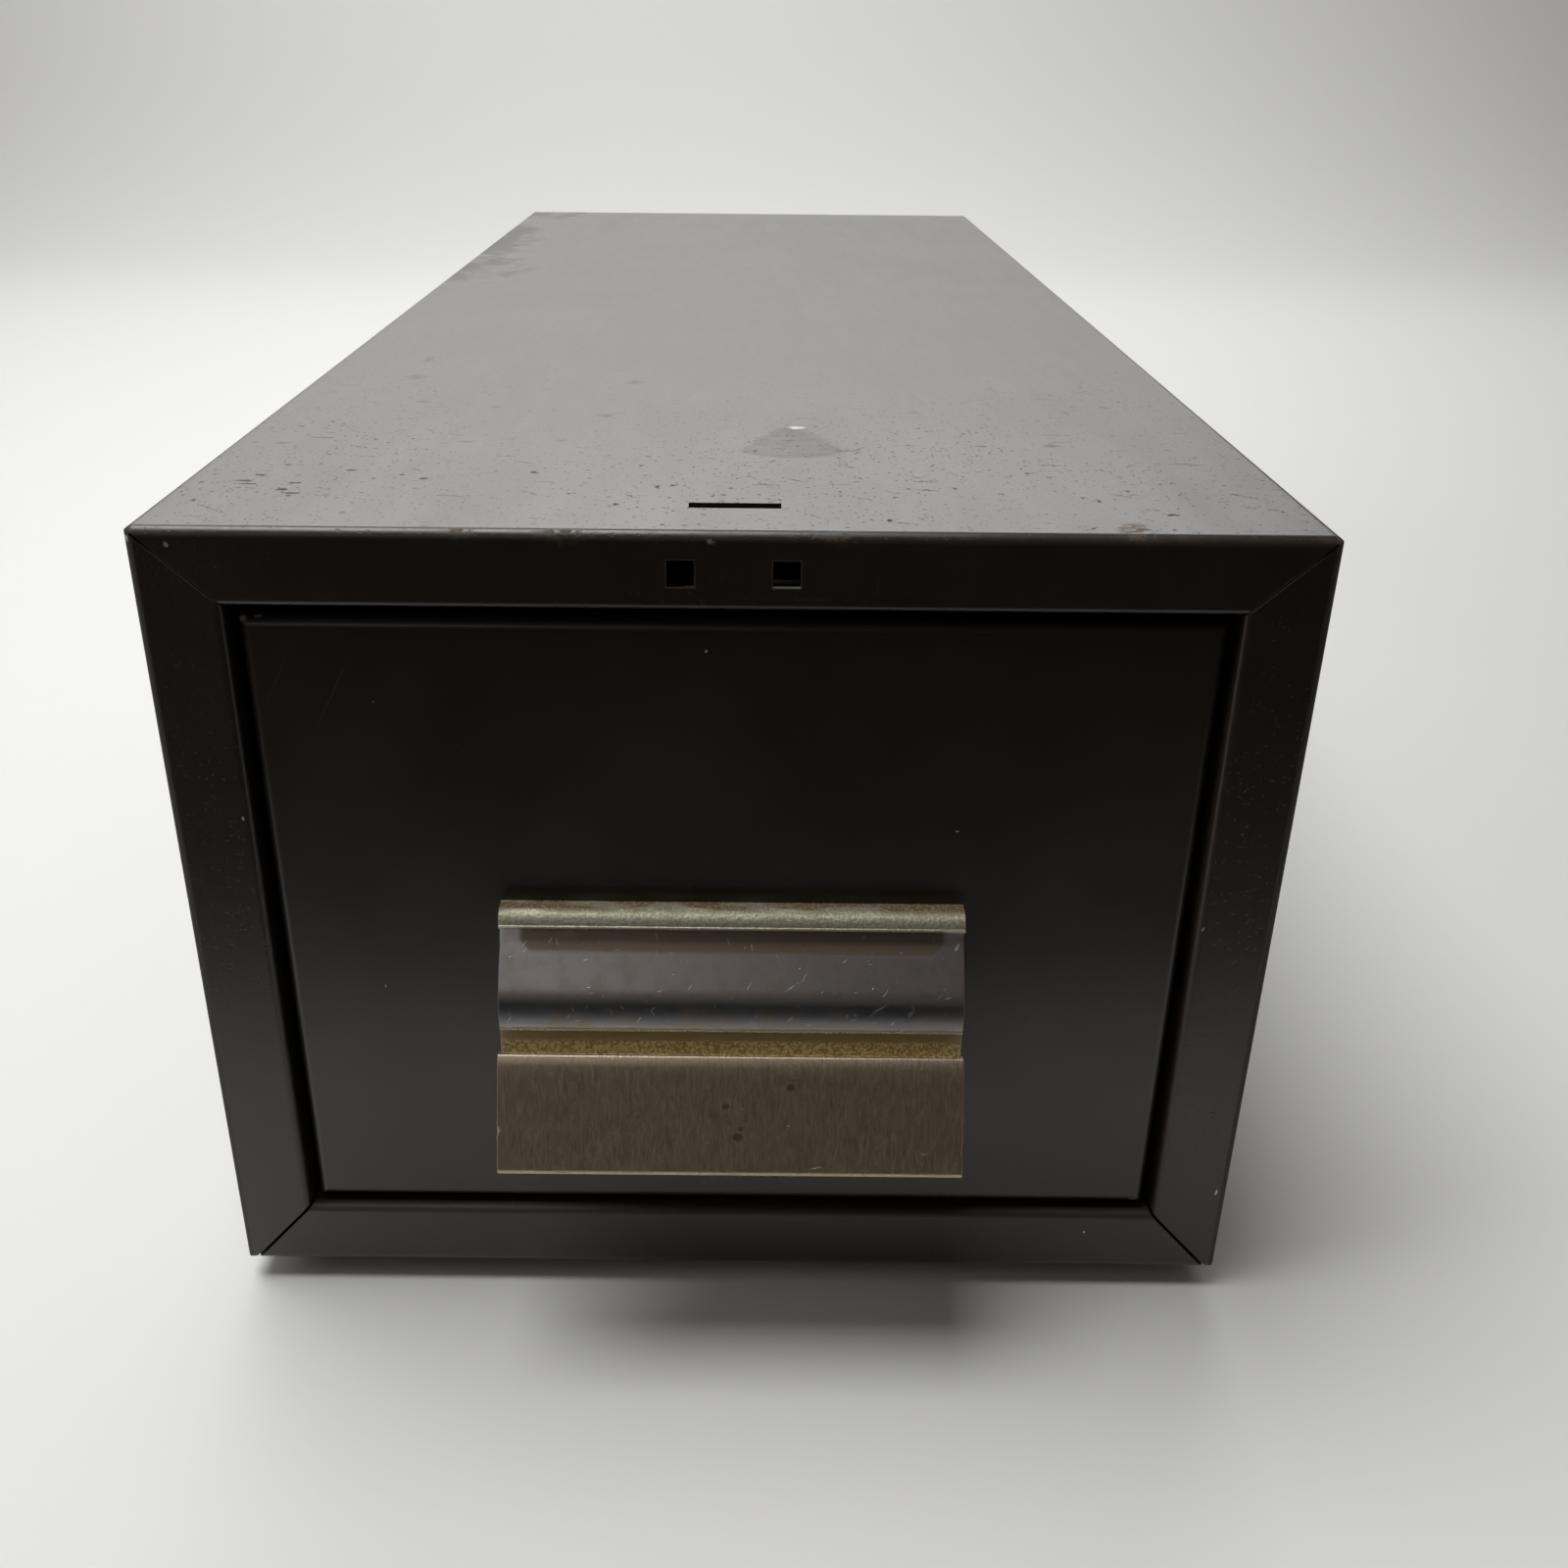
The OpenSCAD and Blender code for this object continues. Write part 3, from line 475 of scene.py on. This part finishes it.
def platedSteel():
    finish = Finish("hardware")
    at = finish.place()
    bloom = finish.ease(finish.noise(at, 0.5, 4.0), 0.45, 0.7)
    fine = finish.noise(at, 5.0, 2.0)
    scratch = finish.strokes(at, 30, (0, 0, 1), 1.6, 0.08, 0.4)
    colour = finish.mix(hardware["colour"], hardware["dull"], bloom)
    rough = hardware["rough"] + bloom * 0.18 + (fine - 0.5) * 0.15
    return finish.surface(Base_Color=colour, Metallic=1.0, Roughness=rough,
                          Normal=finish.bump(fine * 0.006 - scratch * 0.008))


def springSteel():
    finish = Finish("spring_steel")
    at = finish.place()
    rolled = finish.noise(finish.stretch(at, (4.0, 0.15, 4.0)), 1.0, 3.0)
    heat = finish.ease(finish.noise(at, 0.10, 3.0), 0.42, 0.68)
    colour = finish.mix(spring["colour"], spring["heat"], heat * 0.8)
    rough = spring["rough"] + (rolled - 0.5) * 0.3
    return finish.surface(Base_Color=colour, Metallic=1.0, Roughness=rough,
                          Normal=finish.bump(rolled * 0.006))


def rubberSkin():
    finish = Finish("rubber")
    at = finish.place()
    skin = finish.noise(at, 2.2, 3.0)
    dust = finish.ease(finish.noise(at, 0.35, 4.0), 0.48, 0.76)
    colour = finish.mix(rubber["colour"], rubber["dust"], dust * 0.5)
    return finish.surface(Base_Color=colour, Roughness=rubber["rough"] + (skin - 0.5) * 0.2,
                          Normal=finish.bump(skin * 0.02))


dress(casePaint(), "case_shell", "back_panel")
dress(doorPaint(), "drawer_front")
dress(innerPaint(), "left_runner", "right_runner", "left_guide", "right_guide", "left_kicker",
      "right_kicker", "drawer_tray", "drawer_back", "follower_track", "follower_plate")
dress(platedSteel(), "foot_rivets", "pull_screws", "pull_washers", "track_rivets", "stop_rivets",
      "follower_pin")
dress(springSteel(), "stop_leaf", "follower_shoe")
dress(rubberSkin(), "rubber_feet", "rear_bumpers")
print("paint, metal and rubber set")


# Pull

pull = {
    # section: out from the drawer front, down from the pull's top
    "bead": ((1.7, 2.2), 2.2, -90, -6),         # centre, radius, from and to in degrees
    "beadEdge": [(4.08, 2.04), (4.08, 2.475), (2.2, 2.475)],   # burr left under the bead
    "roll": ((0.3, 14.8), 8.4, -33, 12),
    "groove": [(8.55, 16.95), (8.05, 17.15), (8.6, 21.0), (10.45, 21.0), (10.45, 19.475)],
    "lip": [(11.45, 19.2), (12.0, 19.75)],
    "edge": ((17.5, 34.7), 0.9, -23.5, 90),
    "behind": [(15.5, 35.6), (12.65, 25.4), (8.7, 23.2), (6.5, 21.0), (6.5, 14.8), (4.3, 12.2),
               (0.0, 10.0)],
    "step": 0.9,                                # between points along the section
    "rounding": 0.16,                           # on every sharp edge
    "sharp": 24,                                # degrees of turn that make an edge sharp
    "sawn": 0.035,                              # unevenness of the cut ends
    # nicks in the ends: side, down, depth, half height
    "nicks": [(-1, 29.2, 0.55, 0.55), (-1, 5.4, 0.25, 0.5), (1, 31.4, 0.3, 0.6), (1, 4.3, 0.2, 0.4)],
}


def arcPoints(centre, radius, start, end):
    count = max(6, round(math.radians(end - start) * radius / pull["step"] * 2))
    turns = [math.radians(start + (end - start) * i / count) for i in range(count + 1)]
    return [(centre[0] + radius * math.cos(turn), centre[1] + radius * math.sin(turn)) for turn in turns]


def pullSection():
    corners = [(0.0, 0.0), *arcPoints(*pull["bead"]), *pull["beadEdge"], *arcPoints(*pull["roll"]),
               *pull["groove"], *pull["lip"], *arcPoints(*pull["edge"]), *pull["behind"]]
    points = []
    for (outA, downA), (outB, downB) in zip(corners, corners[1:] + corners[:1]):
        steps = max(1, int(math.dist((outA, downA), (outB, downB)) / pull["step"]))
        for i in range(steps):
            points.append((outA + (outB - outA) * i / steps, downA + (downB - downA) * i / steps))
    return points


def pullPiece():
    random.seed(4)
    section = pullSection()
    half = pullHigh.x / mm
    points = []
    for side in (-1, 1):
        for out, down in section:
            cut = random.uniform(0.0, pull["sawn"])
            for nickSide, nickDown, deep, halfHigh in pull["nicks"]:
                if nickSide == side and out > 3.0:
                    cut += deep * max(0.0, 1 - abs(down - nickDown) / halfHigh)
            points.append((side * (half - cut) * mm, doorLow.y - out * mm, pullHigh.z - down * mm))
    count = len(section)
    faces = [(i, (i + 1) % count, count + (i + 1) % count, count + i) for i in range(count)]
    faces += [tuple(reversed(range(count))), tuple(range(count, 2 * count))]
    mesh = bpy.data.meshes.new("pull_bar")
    mesh.from_pydata(points, [], faces)
    mesh.polygons.foreach_set("use_smooth", [True] * len(mesh.polygons))
    mesh.set_sharp_from_angle(angle=math.radians(pull["sharp"]))
    piece = bpy.data.objects.new("pull_bar", mesh)
    scene.collection.objects.link(piece)
    soften = piece.modifiers.new("rounding", "BEVEL")
    soften.width, soften.segments = pull["rounding"] * mm, 3
    soften.limit_method, soften.angle_limit = "ANGLE", math.radians(pull["sharp"])
    soften.harden_normals = True
    mesh.materials.append(pullMetal())
    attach(piece, "drawer")
    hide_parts("drawer_pull")


pullFinish = {
    "metal": tint(190, 174, 149),
    "dull": tint(158, 139, 112),      # tarnish between the brush marks
    "bead": tint(200, 198, 177),
    "beadDark": tint(174, 168, 145),  # hollows of the blasted bead
    "face": tint(192, 185, 183),
    "cove": tint(138, 139, 143),      # painted dark reflection band above the ridge
    "ridge": tint(128, 121, 112),     # painted shade over the ridge under the label face, damping its highlight
    "edge": tint(214, 210, 198),      # painted highlight along the rim of that edge
    "shade": tint(112, 92, 68),       # brown film and painted shadow under the bead
    "film": tint(186, 171, 138),      # old oil in the groove
    "grit": tint(206, 188, 132),
    "rubbed": tint(236, 224, 200),    # painted highlight on the upper edge of the finger plate
    "dust": tint(116, 96, 56),
    "spot": tint(58, 48, 36),
    "scratch": tint(232, 230, 226),
    # where a zone of the section starts or ends, down from the pull's top
    "beadEnd": (2.05, 2.30),
    "shadeEnd": (5.7, 6.4),
    "coveStart": (11.4, 12.8),
    "coveEnd": (15.6, 16.7),
    "dullStart": (12.0, 14.5),
    "ridgeStart": (15.9, 16.7),
    "rimStart": (16.55, 16.75),
    "faceEnd": (16.9, 17.25),
    "gritStart": (18.45, 19.05),
    "plateSheenEnd": (19.6, 22.8),
    "plateStart": (10.5, 11.2),       # out from the drawer front
    "shadeLean": 0.006,               # the film and painted shadow reach further down to the right
    "shadeEnds": 3.0,                 # clear of the film and painted shadow at each end
    "rough": 0.34,
    # dark spots on the finger plate: across, height, half width, half height
    "spots": [(8.8, 49.1, 0.95, 0.8), (-0.7, 46.4, 0.75, 0.65),
              (1.1, 42.3, 1.1, 0.8), (1.5, 43.4, 0.5, 0.5)],
    # light scuffs on it
    "scuffs": [(12.6, 38.3, 1.2, 0.09), (28.0, 40.3, 0.7, 0.10), (27.5, 51.8, 0.4, 0.15),
               (-30.0, 36.7, 1.7, 0.12), (-29.0, 37.3, 0.9, 0.10), (8.4, 43.9, 0.5, 0.12)],
    # scratches on the label face: turn in degrees, length, width, share, strength
    "scratches": [(34, 1.2, 0.07, 0.03, 0.5), (52, 0.40, 0.08, 0.26, 0.6),
                  (112, 0.32, 0.07, 0.22, 0.5), (12, 0.36, 0.07, 0.18, 0.5)],
    "plateDepth": 300.0,              # reach in depth of the spots and scuffs, past the plate's lean
}


def onPlate(mark):
    centre, (halfWide, _, halfHigh) = onFront(mark)
    return centre, (halfWide, pullFinish["plateDepth"], halfHigh)


def pullMetal():
    finish = Finish("pull_metal")
    at = finish.place()
    x, y, z = finish.axes(at)
    down = pullHigh.z / mm - z
    out = doorLow.y / mm - y
    rag = finish.ragged(at, 1.4, 0.35)

    def run(name, start=0.0, end=1.0):
        return finish.ease(down, *pullFinish[name], start, end)

    # zones of the section
    bead = run("beadEnd", 1.0, 0.0)
    plate = finish.ease(out, *pullFinish["plateStart"])
    groove = run("faceEnd") * (1 - plate)
    face = (1 - bead) * (1 - plate) * (1 - groove)
    colour = finish.mix(pullFinish["metal"], pullFinish["bead"], bead)
    colour = finish.mix(colour, pullFinish["face"], face)
    # painted dark reflection band across the cove of the label face
    darkBand = run("coveStart") * run("coveEnd", 1.0, 0.0)
    colour = finish.mix(colour, pullFinish["cove"], darkBand * face)
    # painted shade over the ridge, damping its highlight
    colour = finish.mix(colour, pullFinish["ridge"], run("ridgeStart") * face)
    # painted highlight along the ridge's rim
    rim = run("rimStart") * face
    colour = finish.mix(colour, pullFinish["edge"], rim)

    # upright brushing on the plate, blasted grain on the bead, finer on the label face
    brushed = finish.noise(finish.stretch(at, (2.6, 0.5, 0.5)), 1.0, 2.0)
    blasted = finish.noise(at, 2.2, 2.0)
    fine = finish.noise(at, 4.5, 2.0)
    coarse = finish.noise(at, 0.35, 4.0)
    rough = pullFinish["rough"] + (brushed - 0.5) * 0.30 * plate
    rough = rough + (fine - 0.5) * 0.2 + (coarse - 0.5) * 0.14
    rough = rough + bead * 0.22 + plate * 0.08 - rim * 0.1 + run("dullStart") * face * 0.05
    height = brushed * 0.022 * plate + blasted * 0.09 * bead + fine * 0.012 * face
    hair = finish.strokes(at, 93, (0, 1, 0), 2.2, 0.12, 0.5, 0.0) * plate
    streaks = finish.ease(brushed, 0.40, 0.62) * plate * 0.2 | hair * 0.4
    streaks = streaks | finish.ease(coarse, 0.45, 0.7) * 0.3
    hollows = finish.ease(blasted, 0.42, 0.54, 1.0, 0.0) * bead
    # painted highlight: the finger plate is lighter towards its upper edge
    colour = finish.mix(colour, pullFinish["rubbed"], run("plateSheenEnd", 0.5, 0.0) * plate)
    colour = finish.mix(colour, pullFinish["dull"], streaks)
    colour = finish.mix(colour, pullFinish["beadDark"], hollows * 0.9)

    # brown film and painted shadow under the bead, clear of the ends
    inside = pullHigh.x / mm - pullFinish["shadeEnds"]
    ends = finish.ease(abs(x), inside - 2.0, inside + 1.0, 0.0, 1.6)
    waver = (coarse - 0.5) * 0.5 - x * pullFinish["shadeLean"]
    fade = finish.ease(down + ends + waver, *pullFinish["shadeEnd"], 1.0, 0.0)
    shade = fade * (1 - bead) * finish.ease(abs(x), inside - 0.6, inside + 0.7, 1.0, 0.0)
    colour = finish.mix(colour, pullFinish["shade"], shade * 0.8)

    # scratches on the label face, light nicks and lines on the plate
    bent = finish.ragged(at, 0.7, 0.35)
    scratch = 0.0
    for turn, length, wide, share, strength in pullFinish["scratches"]:
        scratch = finish.strokes(bent, turn, (0, 1, 0), length, wide, share, 0.0) * strength | scratch
    specks = finish.flecks(finish.stretch(at, (1.0, 0.0, 1.0)), 1.6, 0.16, 0.30) * plate
    scuffs = finish.spots(rag, [onPlate(mark) for mark in pullFinish["scuffs"]], 0.7) * plate
    lines = finish.strokes(at, 88, (0, 1, 0), 1.6, 0.11, 0.5, 0.0) * plate
    scratch = scratch * face | specks * 0.45 | scuffs * 0.7 | lines * 0.14
    colour = finish.mix(colour, pullFinish["scratch"], scratch * 0.8)
    height = height - scratch * 0.03

    # oil and grit in the groove, dust behind the bead, spots on the plate
    gritty = finish.ease(finish.noise(at, 2.4, 2.0), 0.44, 0.58)
    grit = run("gritStart") * groove * gritty
    oily = groove * finish.ease(abs(x), inside, inside + 2.2, 0.9, 0.2)
    wisps = finish.ease(finish.noise(finish.stretch(at, (0.12, 0.6, 0.6)), 1.0, 4.0), 0.34, 0.54)
    lint = finish.ease(finish.noise(at, 2.2, 3.0), 0.32, 0.54)
    behind = finish.ease(out, 1.8, 3.2, 1.0, 0.0) * finish.ease(down, 0.6, 1.5, 1.0, 0.0)
    dust = behind * wisps * lint
    spots = finish.spots(rag, [onPlate(mark) for mark in pullFinish["spots"]], 0.5) * plate
    colour = finish.mix(colour, pullFinish["film"], oily)
    colour = finish.mix(colour, pullFinish["grit"], grit)
    colour = finish.mix(colour, pullFinish["dust"], dust)
    colour = finish.mix(colour, pullFinish["spot"], spots * 0.85)
    matt = grit | dust
    rough = rough + groove * 0.20 + matt * 0.35 + spots * 0.2
    height = height + grit * 0.04 + dust * 0.08
    metal = 1 - matt * 0.9 - spots * 0.3 - bead * 0.25 - shade * 0.5
    return finish.surface(Base_Color=colour, Metallic=metal, Roughness=rough,
                          Normal=finish.bump(height))


pullPiece()
print("pull made")


# Studio

studio = {
    "floor": tint(226, 226, 224),
    "floorRough": 0.6,
    "floorRun": (-5.0, 1.0),       # flat part, front to back
    "floorHalf": 5.0,
    "sweepRadius": 0.6,
    "sweepSteps": 24,
    "wallHigh": 3.0,
    "card": tint(30, 26, 22),      # dark card ahead of the object
    "cardGap": 0.085,              # from the case front to the card
    "cardSize": (2.4, 1.6),
    "cardRise": 0.002,
    "world": (0.046, 0.040, 0.034),
    "lamps": {
        # name: place, aim, size, watts, spread in degrees
        "overhead": ((-0.33, -0.13, 1.15), (-0.20, -0.14, 0.0), (0.7, 0.7), 6.3, 130),
        "side": ((-1.3, -0.40, 0.75), (0.0, -0.22, 0.03), (0.9, 0.6), 1.4, 120),
        "front": ((-0.34, -1.15, 0.71), (0.0, -0.2, 0.06), (0.5, 0.4), 0.13, 120),
        "rear": ((-0.12, 1.25, 0.95), (-0.02, 0.1, 0.12), (1.8, 0.8), 4.6, 110),
        "backdrop": ((-0.25, 0.75, 1.5), (-0.1, 1.55, 0.25), (1.6, 0.4), 8.2, 120),
    },
}


def sweep():
    # floor that curves up into a wall behind the object
    near, far = studio["floorRun"]
    radius, half = studio["sweepRadius"], studio["floorHalf"]
    curve = [(near, 0.0)]
    for step in range(studio["sweepSteps"] + 1):
        angle = math.radians(90 * step / studio["sweepSteps"])
        curve.append((far + radius * math.sin(angle), radius - radius * math.cos(angle)))
    curve.append((far + radius, studio["wallHigh"]))
    mesh = bpy.data.meshes.new("studio_floor")
    points = [(side * half, y, z) for y, z in curve for side in (-1, 1)]
    faces = [(2 * i, 2 * i + 1, 2 * i + 3, 2 * i + 2) for i in range(len(curve) - 1)]
    mesh.from_pydata(points, [], faces)
    mesh.polygons.foreach_set("use_smooth", [True] * len(mesh.polygons))
    floor = bpy.data.objects.new("studio_floor", mesh)
    scene.collection.objects.link(floor)
    finish = Finish("studio_floor")
    mesh.materials.append(finish.surface(Base_Color=studio["floor"], Roughness=studio["floorRough"]))


def card():
    # dims what the front mirrors and the light that it gets from the floor; the camera skips it
    wide, deep = studio["cardSize"]
    edge = frontY - studio["cardGap"]
    points = [(side * wide / 2, y, studio["cardRise"]) for y in (edge, edge - deep) for side in (-1, 1)]
    mesh = bpy.data.meshes.new("studio_card")
    mesh.from_pydata(points, [], [(0, 2, 3, 1)])
    sheet = bpy.data.objects.new("studio_card", mesh)
    sheet.visible_camera = sheet.visible_shadow = False
    scene.collection.objects.link(sheet)
    finish = Finish("studio_card")
    dark = finish.node("ShaderNodeBsdfDiffuse", None, {"Color": studio["card"]})
    clear = finish.node("ShaderNodeBsdfTransparent")
    behind = finish.node("ShaderNodeNewGeometry", out="Backfacing")   # the floor under it stays lit
    shader = finish.node("ShaderNodeMixShader", None, {0: behind, 1: dark, 2: clear})
    finish.node("ShaderNodeOutputMaterial", None, {"Surface": shader})
    mesh.materials.append(finish.material)


def lamps():
    for name, (place, aim, size, watts, spread) in studio["lamps"].items():
        data = bpy.data.lights.new(name, "AREA")
        data.shape, data.size, data.size_y = "RECTANGLE", *size
        data.energy, data.spread = watts, math.radians(spread)
        lamp = bpy.data.objects.new(name, data)
        lamp.location = place
        lamp.rotation_euler = (Vector(aim) - Vector(place)).to_track_quat("-Z", "Y").to_euler()
        lamp.visible_camera = False
        scene.collection.objects.link(lamp)
    world = bpy.data.worlds.new("studio")
    world.use_nodes = True
    world.node_tree.nodes["Background"].inputs[0].default_value = (*studio["world"], 1.0)
    scene.world = world


viewpoint = {
    "fromFront": (0.0025, -0.1927, 0.0573),  # from the middle of the case's upper front edge
    "turn": (64.13, -0.48, 0.27),            # degrees
    "lens": 35.22,
    "sensor": 36.0,
    "shift": 35 / 1600,                      # of the picture's width
}


def camera():
    data = bpy.data.cameras.new("camera")
    data.lens, data.sensor_width = viewpoint["lens"], viewpoint["sensor"]
    data.shift_x, data.clip_start = viewpoint["shift"], 0.01
    eye = bpy.data.objects.new("camera", data)
    eye.location = Vector((0.0, frontY, topZ)) + Vector(viewpoint["fromFront"])
    eye.rotation_euler = [math.radians(angle) for angle in viewpoint["turn"]]
    scene.collection.objects.link(eye)
    scene.camera = eye


sweep()
card()
lamps()
camera()
print("studio, lamps and camera set")
